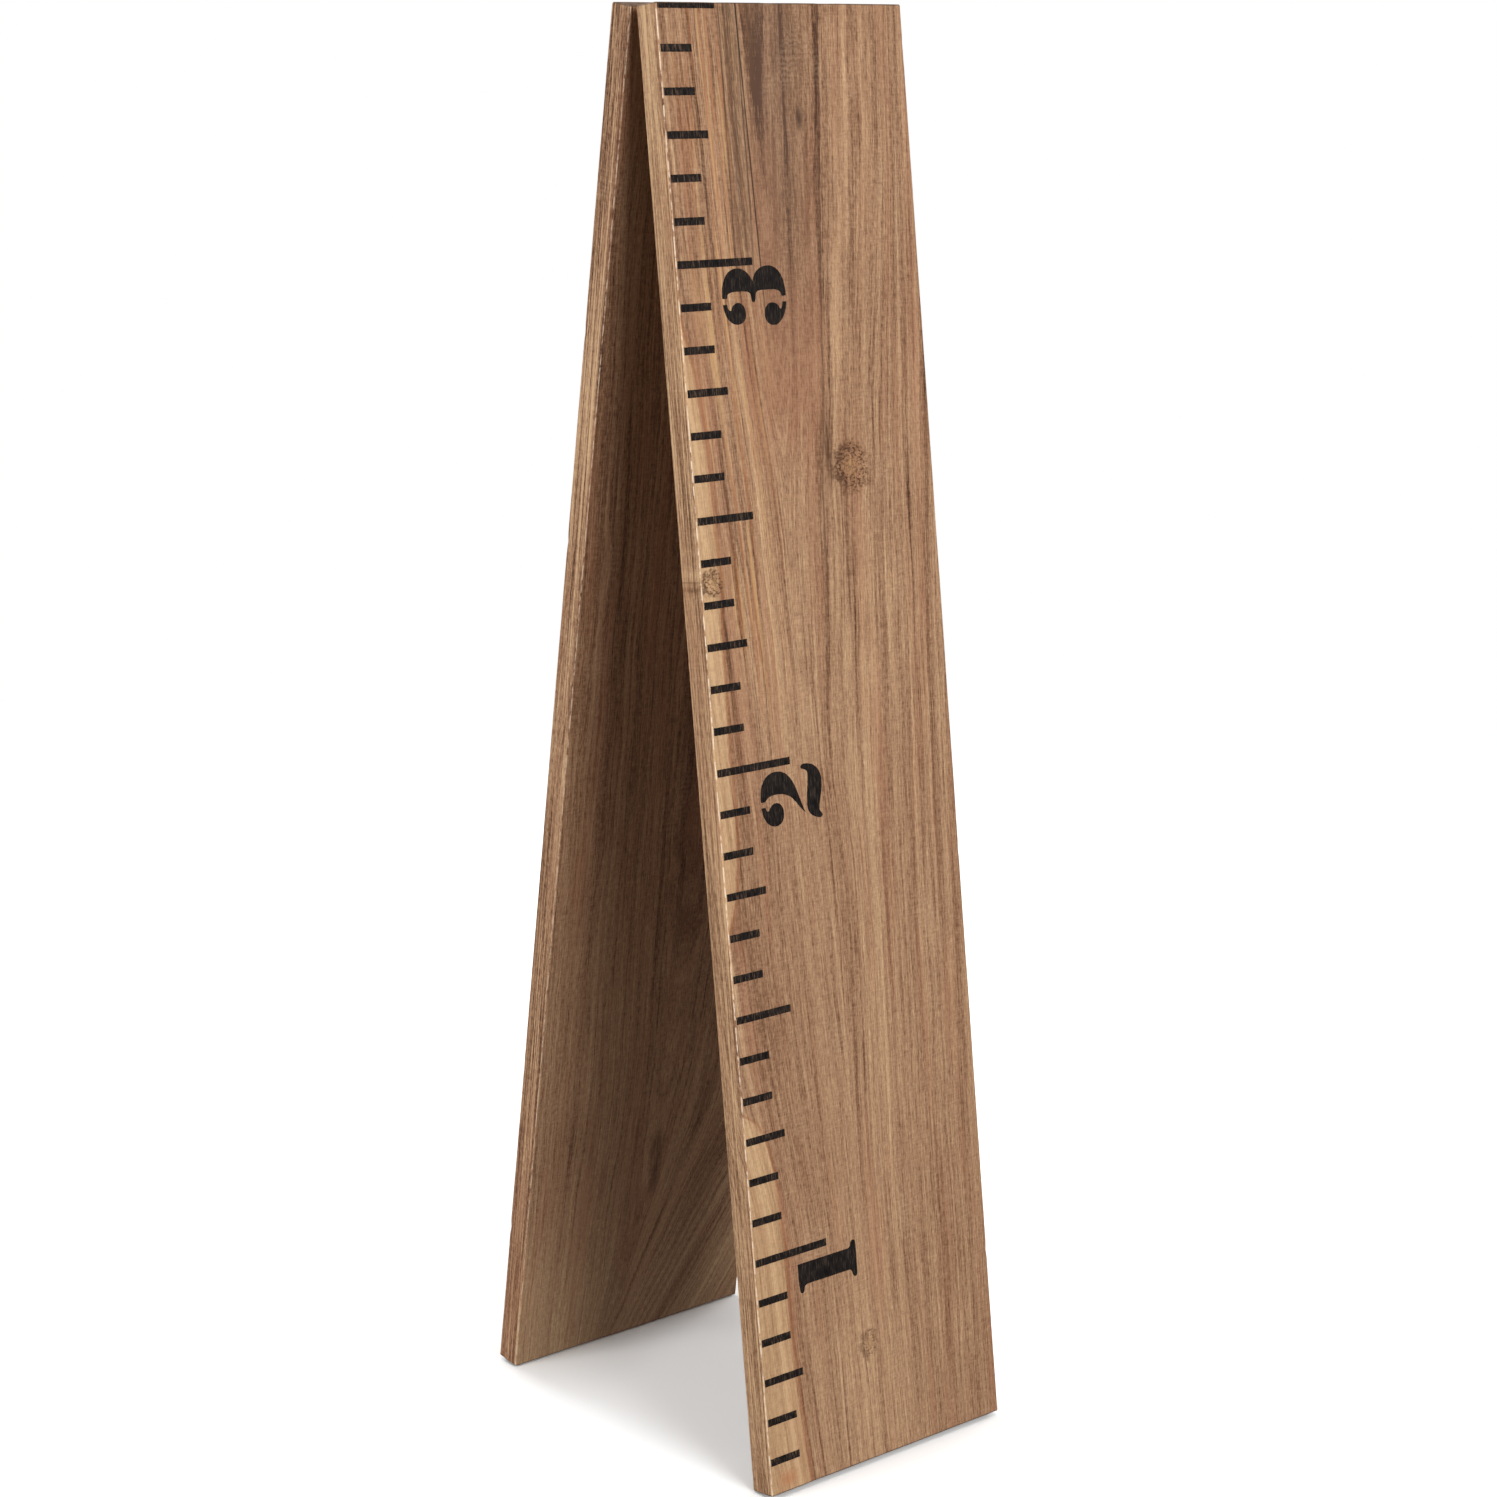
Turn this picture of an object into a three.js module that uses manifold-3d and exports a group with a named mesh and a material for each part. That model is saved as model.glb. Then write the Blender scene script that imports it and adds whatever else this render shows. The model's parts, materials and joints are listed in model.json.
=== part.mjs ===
// A folding wooden height rule: two long boards joined end to end by two butt hinges.
// The board with the low inches stands in front, the other leans behind it, and together
// they make a narrow A-frame. Unfolded, they hang as one ruler.
//
// Units are millimetres and +Z is up. +X runs along the fold, and the front board faces -Y.
// The origin is on the floor, midway between the feet.
//
// Everything is drawn with the rule unfolded, in one flat frame: x across the boards,
// y up the rule with the fold's axis at y = 0, and z out of the scale face, with the axis
// at z = 0. Each half is then turned about that axis to where it stands.

import * as THREE from "three";
import { RoundedBoxGeometry } from "three/addons/geometries/RoundedBoxGeometry.js";
import { mergeVertices } from "three/addons/utils/BufferGeometryUtils.js";
import Module from "manifold-3d";

const wasm = await Module();
wasm.setup();

// Boards
const boardWidth = 200;
const boardLength = 912;
const boardThickness = 18;
const easing = 1; // radius worn and sanded onto every edge
const openAngle = THREE.MathUtils.degToRad(15.06);
const axisToBack = 2.5; // from the fold's axis to the back face of each board
const axisToEnd = 0.3; // from the fold's axis to the end face of each board

// Scale
const inch = 25.4;
const foldInch = 42; // the height that the fold is at when the rule hangs
const marksPerBoard = 36;
const markWidth = 4.7;
const markOffset = -1.7; // from the true inch to the middle of its mark
const markInset = 1.2; // bare strip between the side of the board and the marks
const markEnd = { inch: 25.1, quarter: 33, half: 45.4, foot: 60.2 }; // from the board's side
const paintThickness = 0.1;
const paintRoot = 0.5; // how far a mark's solid reaches into the board that it joins
const curvePoints = 5; // straight pieces in each curve of a numeral

// Hinges: narrow butts, laid on the back faces
const hingeLength = 63.5;
const hingeSpread = 100; // between the middles of the two hinges
const leafReach = 19.8; // from the axis to the leaf's free edge
const leafThickness = 1.1;
const leafToBoard = 0.25;
const knuckleRadius = 2.3;
const knuckleCount = 5;
const knuckleGap = 0.3;
const knuckleClearance = 0.3; // from a knuckle to the notch of the other leaf
const boreRadius = 1.4;
const pinRadius = 1.33;
const pinHeadRadius = 2.1;
const pinHeadHeight = 0.8;

// Countersunk wood screws, three to a leaf: [along the hinge, from the axis]
const screwPlaces = [[-23, 9], [0, 14], [23, 9]];
const screwLength = 12.7;
const headRadius = 2.8;
const headRim = 0.15;
const shankRadius = 1.4;
const tipRadius = 0.3;
const headSink = 0.05; // head below the leaf's surface
const countersinkSlope = Math.tan(THREE.MathUtils.degToRad(41));
const holeClearance = 0.25;
const recessWidth = 0.75;
const recessLength = 3.2;
const recessDepth = 1.1;
const roundSides = 16;

const leafFace = axisToBack - leafToBoard - leafThickness;
const coneHeight = (headRadius - shankRadius) / countersinkSlope;

const wood = new THREE.MeshStandardMaterial({ color: 0x9a7452, roughness: 0.75, metalness: 0 });
const plate = new THREE.MeshStandardMaterial({ color: 0xa9853f, roughness: 0.4, metalness: 1 });
const wire = new THREE.MeshStandardMaterial({ color: 0x8f8a80, roughness: 0.35, metalness: 1 });
const screwMetal = new THREE.MeshStandardMaterial({ color: 0xb08d4a, roughness: 0.35, metalness: 1 });

// Stencil numerals. Each is a list of closed outlines in the numeral's own upright frame:
// x to the right from the middle of the foot mark that it stands before, y down from the
// board's marked side. An entry of two numbers is a corner, and one of six a Bezier curve
// (two handles and the end). Each outline starts at its first corner.
const upperBall = [
  [-25.1, 34.3],
  [-31.5, 34.6, -37.4, 38.8, -37.4, 45],
  [-37.4, 49.4, -34.8, 52.1, -31, 52.1],
  [-27, 52.1, -24.4, 49.6, -24.4, 46.2],
  [-24.4, 43.6, -26, 41.6, -28.6, 40.4],
  [-29.4, 39, -27.4, 37.8, -25.1, 37.6],
];
const lowerBall = [
  [-25.3, 85.5],
  [-33, 84.8, -39.1, 79.6, -39.1, 74.4],
  [-39.1, 70, -36, 67.2, -32.2, 67.2],
  [-28.2, 67.2, -25.4, 69.8, -25.4, 73.6],
  [-25.4, 76.6, -26.8, 78.8, -29.4, 80],
  [-30.2, 81.2, -28, 82, -25.3, 82.2],
];
const numerals = {
  1: [
    [
      [-8.7, 35.1],
      [-19.5, 35.2],
      [-22, 35.6, -24.5, 35.7, -26, 35.9],
      [-27.6, 36.1, -28, 37.7, -27.1, 38.6],
      [-26.5, 39.3, -25.4, 39.5, -24.4, 39.7],
      [-22.9, 40.2, -22.5, 41.6, -22.5, 44],
      [-22.5, 77.5],
      [-22.5, 79.3, -23.4, 80.1, -25, 80.4],
      [-28.6, 80.9, -28.6, 84.6, -25.6, 84.6],
      [-6.2, 84.6],
      [-3.2, 84.4, -3.2, 80.8, -5.8, 80.3],
      [-7.6, 80, -8.6, 79.2, -8.6, 77.5],
    ],
  ],
  2: [
    [
      [-26.2, 34.3],
      [-32.5, 34.6, -38.8, 38.6, -38.8, 45.2],
      [-38.8, 49.5, -35.8, 52.3, -31.6, 52.3],
      [-27.4, 52.3, -24.5, 49.6, -24.5, 46],
      [-24.5, 43.4, -26.4, 41.6, -28.6, 40.2],
      [-29.6, 38.9, -28.2, 38, -26.2, 37.6],
    ],
    [
      [-22.7, 34.3],
      [-12.5, 33.3, -5.3, 38.6, -5.3, 47.4],
      [-5.3, 56.4, -11, 61, -20.5, 64.6],
      [-26, 66.8, -30, 68.2, -34.1, 70.1],
      [-31.5, 66.9, -27, 63.6, -24.6, 61.2],
      [-20.6, 57.2, -19.4, 52, -19.4, 46.5],
      [-19.4, 42, -20.4, 39.2, -22.7, 37.9],
    ],
    [
      [-38.9, 82.6],
      [-38.2, 78.4, -36.4, 71.9, -29.5, 71.8],
      [-22, 71.8, -17.5, 73.7, -10.2, 73.9],
      [-7.9, 73.8, -7.2, 72, -6.6, 69.6],
      [-6.2, 68, -4.6, 68, -4, 69.4],
      [-2.8, 72.4, -3.8, 85, -16, 85.1],
      [-23, 85.1, -28, 82, -33.2, 81.8],
      [-35.4, 81.9, -35.6, 84, -37.6, 84.1],
    ],
  ],
  3: [
    upperBall,
    [
      [-21.5, 34.3],
      [-11, 33.6, -3.8, 38.8, -3.8, 47],
      [-3.8, 52.6, -6.6, 56.6, -11.9, 59.2],
      [-6, 60.8, -3, 65.8, -3, 72],
      [-3, 80, -9.5, 85.5, -21.8, 85.5],
      [-21.8, 82.2],
      [-18.6, 81.2, -17.5, 79.2, -17.5, 74],
      [-17.5, 66.5],
      [-17.5, 62, -18.6, 60.8, -22.6, 60.7],
      [-25.4, 60.6, -25.4, 57.4, -22.6, 57.3],
      [-18.8, 57.3, -17.7, 56, -17.7, 50],
      [-17.7, 45],
      [-17.7, 40, -18.6, 38, -21.5, 37.9],
    ],
    lowerBall,
  ],
  4: [
    [
      [-20.1, 35.2],
      [-39.1, 67.8],
      [-39.1, 71.6],
      [-20.1, 71.6],
      [-20.1, 67.8],
      [-34.3, 67.8],
      [-20.1, 43.4],
    ],
    [
      [-17.7, 34.4],
      [-7.7, 34.4],
      [-7.7, 67.8],
      [-3.3, 67.8],
      [-3.3, 71.6],
      [-7.7, 71.6],
      [-7.7, 77.5],
      [-7.7, 79.3, -6.8, 80.1, -5.2, 80.4],
      [-2.6, 80.9, -2.6, 84.6, -5.2, 84.6],
      [-20.2, 84.6],
      [-22.8, 84.6, -22.8, 80.9, -20.2, 80.4],
      [-18.6, 80.1, -17.7, 79.3, -17.7, 77.5],
    ],
  ],
  5: [
    [
      [-34, 34.6],
      [-27.5, 36.9, -17.5, 36.9, -9.5, 34.3],
      [-8.6, 34.1, -8.1, 34.6, -8.4, 35.4],
      [-10.5, 41.6, -15.5, 45.3, -22.5, 45.1],
      [-26.3, 44.9, -29.4, 44, -31.5, 43.2],
      [-31.5, 56],
      [-29.6, 55.3, -27.8, 54.9, -25.9, 54.8],
      [-25.9, 58],
      [-28.7, 58.2, -31, 59, -34, 61],
    ],
    [
      [-22.5, 54.6],
      [-11.5, 52.6, -3, 58.8, -3, 69.4],
      [-3, 79.4, -10.5, 85.5, -21.8, 85.5],
      [-21.8, 82.2],
      [-18.6, 81.2, -17.1, 77.6, -17.1, 70],
      [-17.1, 62.6, -18.4, 58.7, -22.5, 57.9],
    ],
    lowerBall,
  ],
  6: [
    [
      [-23, 34.5],
      [-32.6, 36, -39.1, 46.6, -39.1, 60],
      [-39.1, 73.4, -32.6, 84, -23, 85.4],
      [-23, 82],
      [-26, 79.6, -26.9, 72.5, -26.9, 60],
      [-26.9, 47.5, -26, 40.4, -23, 37.9],
    ],
    [
      [-20, 34.3],
      [-11.6, 34.5, -5.1, 38.8, -5.1, 45.2],
      [-5.1, 49.3, -7.6, 51.9, -11.2, 51.9],
      [-14.8, 51.9, -17.2, 49.5, -17.2, 46.1],
      [-17.2, 43.5, -15.8, 41.5, -13.8, 40.3],
      [-13.2, 39, -16.4, 37.8, -20, 37.6],
    ],
    [
      [-20, 56.3],
      [-10.6, 55.4, -3.3, 61, -3.3, 70.4],
      [-3.3, 79.6, -10, 85.3, -20, 85.5],
      [-20, 82],
      [-17, 80.6, -16.1, 76.6, -16.1, 70.8],
      [-16.1, 64.8, -17, 61, -20, 59.7],
    ],
  ],
};

function solid(geometry) {
  const bare = geometry.clone();
  bare.deleteAttribute("normal");
  bare.deleteAttribute("uv");
  const merged = mergeVertices(bare, 1e-4);
  return new wasm.Manifold(
    new wasm.Mesh({
      numProp: 3,
      vertProperties: new Float32Array(merged.attributes.position.array),
      triVerts: new Uint32Array(merged.index.array),
    }),
  );
}

function geometryOf(shape) {
  const mesh = shape.getMesh();
  const geometry = new THREE.BufferGeometry();
  geometry.setAttribute("position", new THREE.BufferAttribute(mesh.vertProperties, 3));
  geometry.setIndex(new THREE.BufferAttribute(mesh.triVerts, 1));
  geometry.computeVertexNormals();
  return geometry;
}

function named(name, geometry, material) {
  const mesh = new THREE.Mesh(geometry, material);
  mesh.name = name;
  return mesh;
}

function box(low, high) {
  const size = high.map((value, axis) => value - low[axis]);
  const geometry = new THREE.BoxGeometry(...size);
  return geometry.translate(...low.map((value, axis) => value + size[axis] / 2));
}

// A round solid about a line along z, from [radius, z] points that start and end on that line
function turned(profile, x, y) {
  const points = profile.map(([radius, z]) => new THREE.Vector2(radius, z));
  const geometry = new THREE.LatheGeometry(points, roundSides);
  return geometry.rotateX(Math.PI / 2).translate(x, y, 0);
}

// A round bar about a line along x
function bar(radius, fromX, toX) {
  const geometry = new THREE.CylinderGeometry(radius, radius, toX - fromX, 2 * roundSides);
  return geometry.rotateZ(Math.PI / 2).translate((fromX + toX) / 2, 0, 0);
}

function markReach(number) {
  if (number % 12 === 0) return markEnd.foot;
  if (number % 6 === 0) return markEnd.half;
  if (number % 3 === 0) return markEnd.quarter;
  return markEnd.inch;
}

function markHeight(number) {
  return (number - foldInch) * inch + markOffset;
}

// Painted shapes are extruded from just inside the board to the paint's own thickness
function painted(shape) {
  const face = axisToBack + boardThickness;
  const depth = paintRoot + paintThickness;
  const geometry = new THREE.ExtrudeGeometry(shape, {
    depth,
    bevelEnabled: false,
    curveSegments: curvePoints,
  });
  return solid(geometry.translate(0, 0, face - paintRoot));
}

function mark(number, lowestY, highestY) {
  const middle = markHeight(number);
  const bottom = Math.max(middle - markWidth / 2, lowestY);
  const top = Math.min(middle + markWidth / 2, highestY);
  const left = -boardWidth / 2 + markInset;
  const right = -boardWidth / 2 + markReach(number);
  const shape = new THREE.Shape();
  shape.moveTo(left, bottom);
  shape.lineTo(right, bottom);
  shape.lineTo(right, top);
  shape.lineTo(left, top);
  shape.closePath();
  return painted(shape);
}

// Numerals lie on their side: their top points at the board's marked side
function numeral(digit) {
  const start = markHeight(12 * digit);
  const place = (x, y) => [y - boardWidth / 2, start + x];
  return numerals[digit].map((outline) => {
    const shape = new THREE.Shape();
    shape.moveTo(...place(...outline[0]));
    for (const [a, b, c, d, e, f] of outline.slice(1)) {
      if (c === undefined) shape.lineTo(...place(a, b));
      else shape.bezierCurveTo(...place(a, b), ...place(c, d), ...place(e, f));
    }
    shape.closePath();
    return painted(shape);
  });
}

function screwHole(x, y) {
  const mouth = axisToBack - leafToBoard / 2;
  const radius = shankRadius + holeClearance;
  const headTop = leafFace + headSink + headRim;
  const mouthRadius = headRadius + holeClearance - (mouth - headTop) * countersinkSlope;
  const neck = mouth + (mouthRadius - radius) / countersinkSlope;
  const bottom = leafFace + headSink + screwLength;
  const profile = [
    [0, mouth],
    [mouthRadius, mouth],
    [radius, neck],
    [radius, bottom - 2 * shankRadius],
    [0, bottom + 1],
  ];
  return solid(turned(profile, x, y));
}

function hingeMiddles() {
  return [-hingeSpread / 2, hingeSpread / 2];
}

// side is -1 for the lower half of the rule and 1 for the upper half
function board(side, name, lowestInch, digits) {
  const nearY = axisToEnd;
  const farY = axisToEnd + boardLength;
  const middle = (side * (nearY + farY)) / 2;
  const block = new RoundedBoxGeometry(boardWidth, boardLength, boardThickness, 3, easing);
  block.translate(0, middle, axisToBack + boardThickness / 2);
  let shape = solid(block);

  const lowestY = middle - boardLength / 2 + easing;
  const highestY = middle + boardLength / 2 - easing;
  for (let step = 0; step < marksPerBoard; step++) {
    shape = shape.add(mark(lowestInch + step, lowestY, highestY));
  }
  for (const island of digits.flatMap(numeral)) {
    shape = shape.add(island);
  }
  for (const x of hingeMiddles()) {
    for (const [along, away] of screwPlaces) {
      shape = shape.subtract(screwHole(x + along, side * away));
    }
  }
  return named(name, geometryOf(shape), wood);
}

function leaf(side, name, middleX) {
  const from = middleX - hingeLength / 2;
  const pitch = hingeLength / knuckleCount;
  const back = leafFace + leafThickness;
  const notch = knuckleRadius + knuckleClearance;
  const [low, high] = side < 0 ? [-leafReach, -notch] : [notch, leafReach];
  let shape = solid(box([from, low, leafFace], [from + hingeLength, high, back]));

  // The lower leaf has the first, third and fifth knuckles, and the upper leaf the others
  for (let index = side < 0 ? 0 : 1; index < knuckleCount; index += 2) {
    const left = from + index * pitch + (index > 0 ? knuckleGap / 2 : 0);
    const right = from + (index + 1) * pitch - (index < knuckleCount - 1 ? knuckleGap / 2 : 0);
    const [inner, outer] = side < 0 ? [-notch - 1, 0] : [0, notch + 1];
    shape = shape.add(solid(box([left, inner, leafFace], [right, outer, back])));
    shape = shape.add(solid(bar(knuckleRadius, left, right)));
  }
  shape = shape.subtract(solid(bar(boreRadius, from - 1, from + hingeLength + 1)));

  for (const [along, away] of screwPlaces) {
    const wide = headRadius + holeClearance + (headSink + headRim) * countersinkSlope;
    const deep = leafThickness + leafToBoard / 2;
    const profile = [
      [0, leafFace - 1],
      [wide, leafFace - 1],
      [wide, leafFace],
      [wide - deep * countersinkSlope, leafFace + deep],
      [0, leafFace + deep],
    ];
    shape = shape.subtract(solid(turned(profile, middleX + along, side * away)));
  }
  return named(name, geometryOf(shape), plate);
}

function pin(name, middleX) {
  const half = hingeLength / 2;
  const headStart = half + knuckleGap;
  const headEnd = headStart + pinHeadHeight;
  const oneEnd = [
    [pinRadius, headStart],
    [pinHeadRadius, headStart],
    [pinHeadRadius, headStart + pinHeadHeight / 2],
    [pinHeadRadius / 2, headEnd],
    [0, headEnd],
  ];
  const otherEnd = oneEnd.map(([radius, along]) => [radius, -along]).reverse();
  const profile = [...otherEnd, ...oneEnd];
  const points = profile.map(([radius, along]) => new THREE.Vector2(radius, along));
  const geometry = new THREE.LatheGeometry(points, roundSides);
  return named(name, geometry.rotateZ(-Math.PI / 2).translate(middleX, 0, 0), wire);
}

function screw(side, name, x, away) {
  const top = leafFace + headSink;
  const neck = top + headRim + coneHeight;
  const end = top + screwLength;
  const profile = [
    [0, top],
    [headRadius, top],
    [headRadius, top + headRim],
    [shankRadius, neck],
    [shankRadius, end - 2 * shankRadius],
    [tipRadius, end - tipRadius],
    [0, end],
  ];
  const body = solid(turned(profile, x, side * away));
  const arm = (alongX, alongY) =>
    solid(
      box(
        [x - alongX / 2, side * away - alongY / 2, top - 1],
        [x + alongX / 2, side * away + alongY / 2, top + recessDepth],
      ),
    );
  const recess = arm(recessLength, recessWidth).add(arm(recessWidth, recessLength));
  return named(name, geometryOf(body.subtract(recess)), screwMetal);
}

// One half of the rule, turned about the fold's axis
function half(side, word, tilt, lowestInch, digits) {
  const group = new THREE.Group();
  group.add(board(side, `${word}_board`, lowestInch, digits));
  for (const middleX of hingeMiddles()) {
    const hinge = middleX < 0 ? "left_hinge" : "right_hinge";
    group.add(leaf(side, `${hinge}_${word}_leaf`, middleX));
    screwPlaces.forEach(([along, away], index) => {
      group.add(screw(side, `${hinge}_${word}_screw_${index + 1}`, middleX + along, away));
    });
    if (side < 0) group.add(pin(`${hinge}_pin`, middleX));
  }
  group.rotation.x = tilt;
  return group;
}

// The feet rest on the inner edges of their end faces, so the fold's height follows
const lean = openAngle / 2;
const reach = axisToEnd + boardLength;
const foldHeight = reach * Math.cos(lean) - (axisToBack + easing) * Math.sin(lean);

const rule = new THREE.Group();
rule.add(half(-1, "lower", Math.PI / 2 - lean, foldInch - marksPerBoard + 1, [1, 2, 3]));
rule.add(half(1, "upper", lean - Math.PI / 2, foldInch + 1, [4, 5, 6]));
rule.position.z = foldHeight;

export default rule;
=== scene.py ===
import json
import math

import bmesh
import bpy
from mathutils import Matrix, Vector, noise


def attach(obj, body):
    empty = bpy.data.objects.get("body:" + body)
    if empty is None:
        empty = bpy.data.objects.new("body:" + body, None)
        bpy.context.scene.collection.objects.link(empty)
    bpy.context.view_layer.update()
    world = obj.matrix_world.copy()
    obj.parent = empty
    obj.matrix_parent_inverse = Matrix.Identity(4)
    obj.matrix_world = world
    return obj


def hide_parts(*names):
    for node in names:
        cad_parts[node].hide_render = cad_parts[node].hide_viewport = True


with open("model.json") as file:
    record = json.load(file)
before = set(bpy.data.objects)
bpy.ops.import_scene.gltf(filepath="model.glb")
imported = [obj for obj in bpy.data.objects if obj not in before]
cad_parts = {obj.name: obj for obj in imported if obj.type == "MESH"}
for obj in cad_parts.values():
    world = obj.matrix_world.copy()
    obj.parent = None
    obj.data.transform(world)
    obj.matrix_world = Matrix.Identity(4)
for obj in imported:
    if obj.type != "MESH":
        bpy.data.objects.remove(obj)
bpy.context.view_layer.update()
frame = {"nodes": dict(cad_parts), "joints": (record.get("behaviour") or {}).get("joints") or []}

# A folding wooden height rule, stood open as a narrow A: two planks with a painted inch
# scale, joined back to back at the top by two small butt hinges.
#
# Each plank and its paint are drawn in one flat frame, with the rule unfolded: x across it,
# y up the rule with the fold's axis at y = 0, and z out of the scale face, with the axis at
# z = 0. Their meshes are then leant to where each half stands. Lengths are in millimetres
# until a mesh is made, and the grain is described in millimetres too.

MM = 0.001

# The rule, as in the CAD
BOARD_WIDTH = 200.0
BOARD_LENGTH = 912.0
BACK = 2.5  # from the fold's axis to a plank's back
FACE = 20.5  # from the fold's axis to its scale face
AXIS_TO_END = 0.3
LEAN = math.radians(15.06 / 2)
FOLD_AXIS = Vector(next(joint["pos_m"] for joint in frame["joints"] if joint["name"] == "fold"))
SIDES = {"lower": -1, "upper": 1}

# Scale
INCH = 25.4
FOLD_INCH = 42
MARKS_PER_BOARD = 36
MARK_WIDTH = 4.7
MARK_OFFSET = -1.7
MARK_INSET = 1.2
MARK_END = {"inch": 25.1, "quarter": 33.0, "half": 45.4, "foot": 60.2}
PAINT_LIFT = 0.07  # top of the paint above the wood

# Stage
STAGE_REACH = 20.0
FLOOR_LEVEL = -0.0006

# Hinge screws
HINGE_MIDDLES = (-50.0, 50.0)
SCREW_PLACES = ((-23.0, 9.0), (0.0, 14.0), (23.0, 9.0))


def half_matrix(side):
    """From the flat frame, in metres, to where that half of the rule stands."""
    turn = Matrix.Rotation(-side * (math.pi / 2 - LEAN), 4, "X")
    return Matrix.Translation(Vector((0.0, 0.0, FOLD_AXIS.z))) @ turn


def place(piece, half, *nodes, slot):
    """Leans a piece drawn in the flat frame to where its half of the rule stands."""
    piece.data.transform(half_matrix(SIDES[half]))
    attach(piece, half + "_half")
    if nodes:
        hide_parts(*nodes)
    return piece


def finish_mesh(mesh, name):
    """The mesh that was built, as data for an object."""
    data = bpy.data.meshes.new(name)
    mesh.to_mesh(data)
    mesh.free()
    return data


def new_object(name, mesh, material):
    piece = bpy.data.objects.new(name, mesh)
    bpy.context.scene.collection.objects.link(piece)
    mesh.materials.append(material)
    return piece


def srgb(red, green, blue):
    """A colour given as it looks, 0 to 255, as the linear one that a shader wants."""
    parts = [c / 255 for c in (red, green, blue)]
    linear = [c / 12.92 if c <= 0.04045 else ((c + 0.055) / 1.055) ** 2.4 for c in parts]
    return (*linear, 1.0)


# ---------------------------------------------------------------------------- node arithmetic

# The lowest and highest result that a curve may have
CURVE_LOW = -50.0
CURVE_HIGH = 250.0


class Value:
    """A number in a material's nodes. Arithmetic on it adds Math nodes."""

    def __init__(self, tree, socket):
        self.tree = tree
        self.socket = socket

    def math(self, operation, *others, clamp=False):
        node = self.tree.nodes.new("ShaderNodeMath")
        node.operation = operation
        node.use_clamp = clamp
        for socket, item in zip(node.inputs, (self, *others)):
            plug(self.tree, socket, item)
        return Value(self.tree, node.outputs[0])

    def __add__(self, other):
        return self.math("ADD", other)

    def __sub__(self, other):
        return self.math("SUBTRACT", other)

    def __rsub__(self, other):
        return (self * -1) + other

    def __mul__(self, other):
        return self.math("MULTIPLY", other)

    def __truediv__(self, other):
        return self.math("DIVIDE", other)

    def abs(self):
        return self.math("ABSOLUTE")

    def sqrt(self):
        return self.math("SQRT")

    def sin(self):
        return self.math("SINE")

    def fract(self):
        return self.math("FRACT")

    def floor(self):
        return self.math("FLOOR")

    def min(self, other):
        return self.math("MINIMUM", other)

    def max(self, other):
        return self.math("MAXIMUM", other)

    def clamp(self):
        return self.math("ADD", 0.0, clamp=True)

    def step(self, low, high, start=0.0, end=1.0):
        """Goes smoothly from start to end as this goes from low to high."""
        node = self.tree.nodes.new("ShaderNodeMapRange")
        node.interpolation_type = "SMOOTHSTEP"
        for socket, item in zip(node.inputs, (self, low, high, start, end)):
            plug(self.tree, socket, item)
        return Value(self.tree, node.outputs[0])

    def near(self, middle, reach):
        """1 where this is middle, falling smoothly to 0 at reach from it."""
        return (self - middle).abs().step(0.0, reach, 1.0, 0.0)

    def between(self, low, high, fade):
        """1 from low to high, fading out over that distance outside them."""
        return self.step(low - fade, low) * self.step(high, high + fade, 1.0, 0.0)

    def curve(self, points):
        """A smooth line through (this, result) points, for this from 0 to the plank's length."""
        reach = CURVE_HIGH - CURVE_LOW
        node = self.tree.nodes.new("ShaderNodeFloatCurve")
        plug(self.tree, node.inputs["Value"], self / BOARD_LENGTH)
        line = node.mapping.curves[0]
        spots = [(x / BOARD_LENGTH, (y - CURVE_LOW) / reach) for x, y in points]
        for index, (x, y) in enumerate(spots):
            point = line.points[index] if index < 2 else line.points.new(x, y)
            point.location = (x, y)
        node.mapping.use_clip = False
        node.mapping.update()
        return Value(self.tree, node.outputs[0]) * reach + CURVE_LOW


def plug(tree, socket, item):
    if isinstance(item, Value):
        tree.links.new(item.socket, socket)
    elif item is not None:
        socket.default_value = item


def cloud(tree, x, y=0.0, z=0.0, detail=2.0, roughness=0.5, seed=0.0):
    """Smooth noise, 0 to 1, from coordinates already divided by the size of its lumps."""
    join = tree.nodes.new("ShaderNodeCombineXYZ")
    for socket, item in zip(join.inputs, (x, y, z)):
        plug(tree, socket, item)
    node = tree.nodes.new("ShaderNodeTexNoise")
    node.noise_dimensions = "4D"
    tree.links.new(join.outputs[0], node.inputs["Vector"])
    node.inputs["W"].default_value = seed
    node.inputs["Scale"].default_value = 1.0
    node.inputs["Detail"].default_value = detail
    node.inputs["Roughness"].default_value = roughness
    return Value(tree, node.outputs["Fac"])


def mix(tree, factor, first, second):
    """Mixes two colours, each a node value or four numbers."""
    node = tree.nodes.new("ShaderNodeMix")
    node.data_type = "RGBA"
    node.clamp_factor = True
    plug(tree, node.inputs[0], factor)
    plug(tree, node.inputs[6], first)
    plug(tree, node.inputs[7], second)
    return Value(tree, node.outputs[2])


def ramp(tree, factor, stops):
    """A colour ramp through (position, colour) stops."""
    node = tree.nodes.new("ShaderNodeValToRGB")
    node.color_ramp.interpolation = "EASE"
    elements = node.color_ramp.elements
    for index, (position, colour) in enumerate(stops):
        element = elements[index] if index < 2 else elements.new(position)
        element.position = position
        element.color = colour
    plug(tree, node.inputs["Fac"], factor)
    return Value(tree, node.outputs["Color"])


def new_material(name):
    material = bpy.data.materials.new(name)
    material.use_nodes = True
    tree = material.node_tree
    shader = tree.nodes["Principled BSDF"]
    return material, tree, shader


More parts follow.
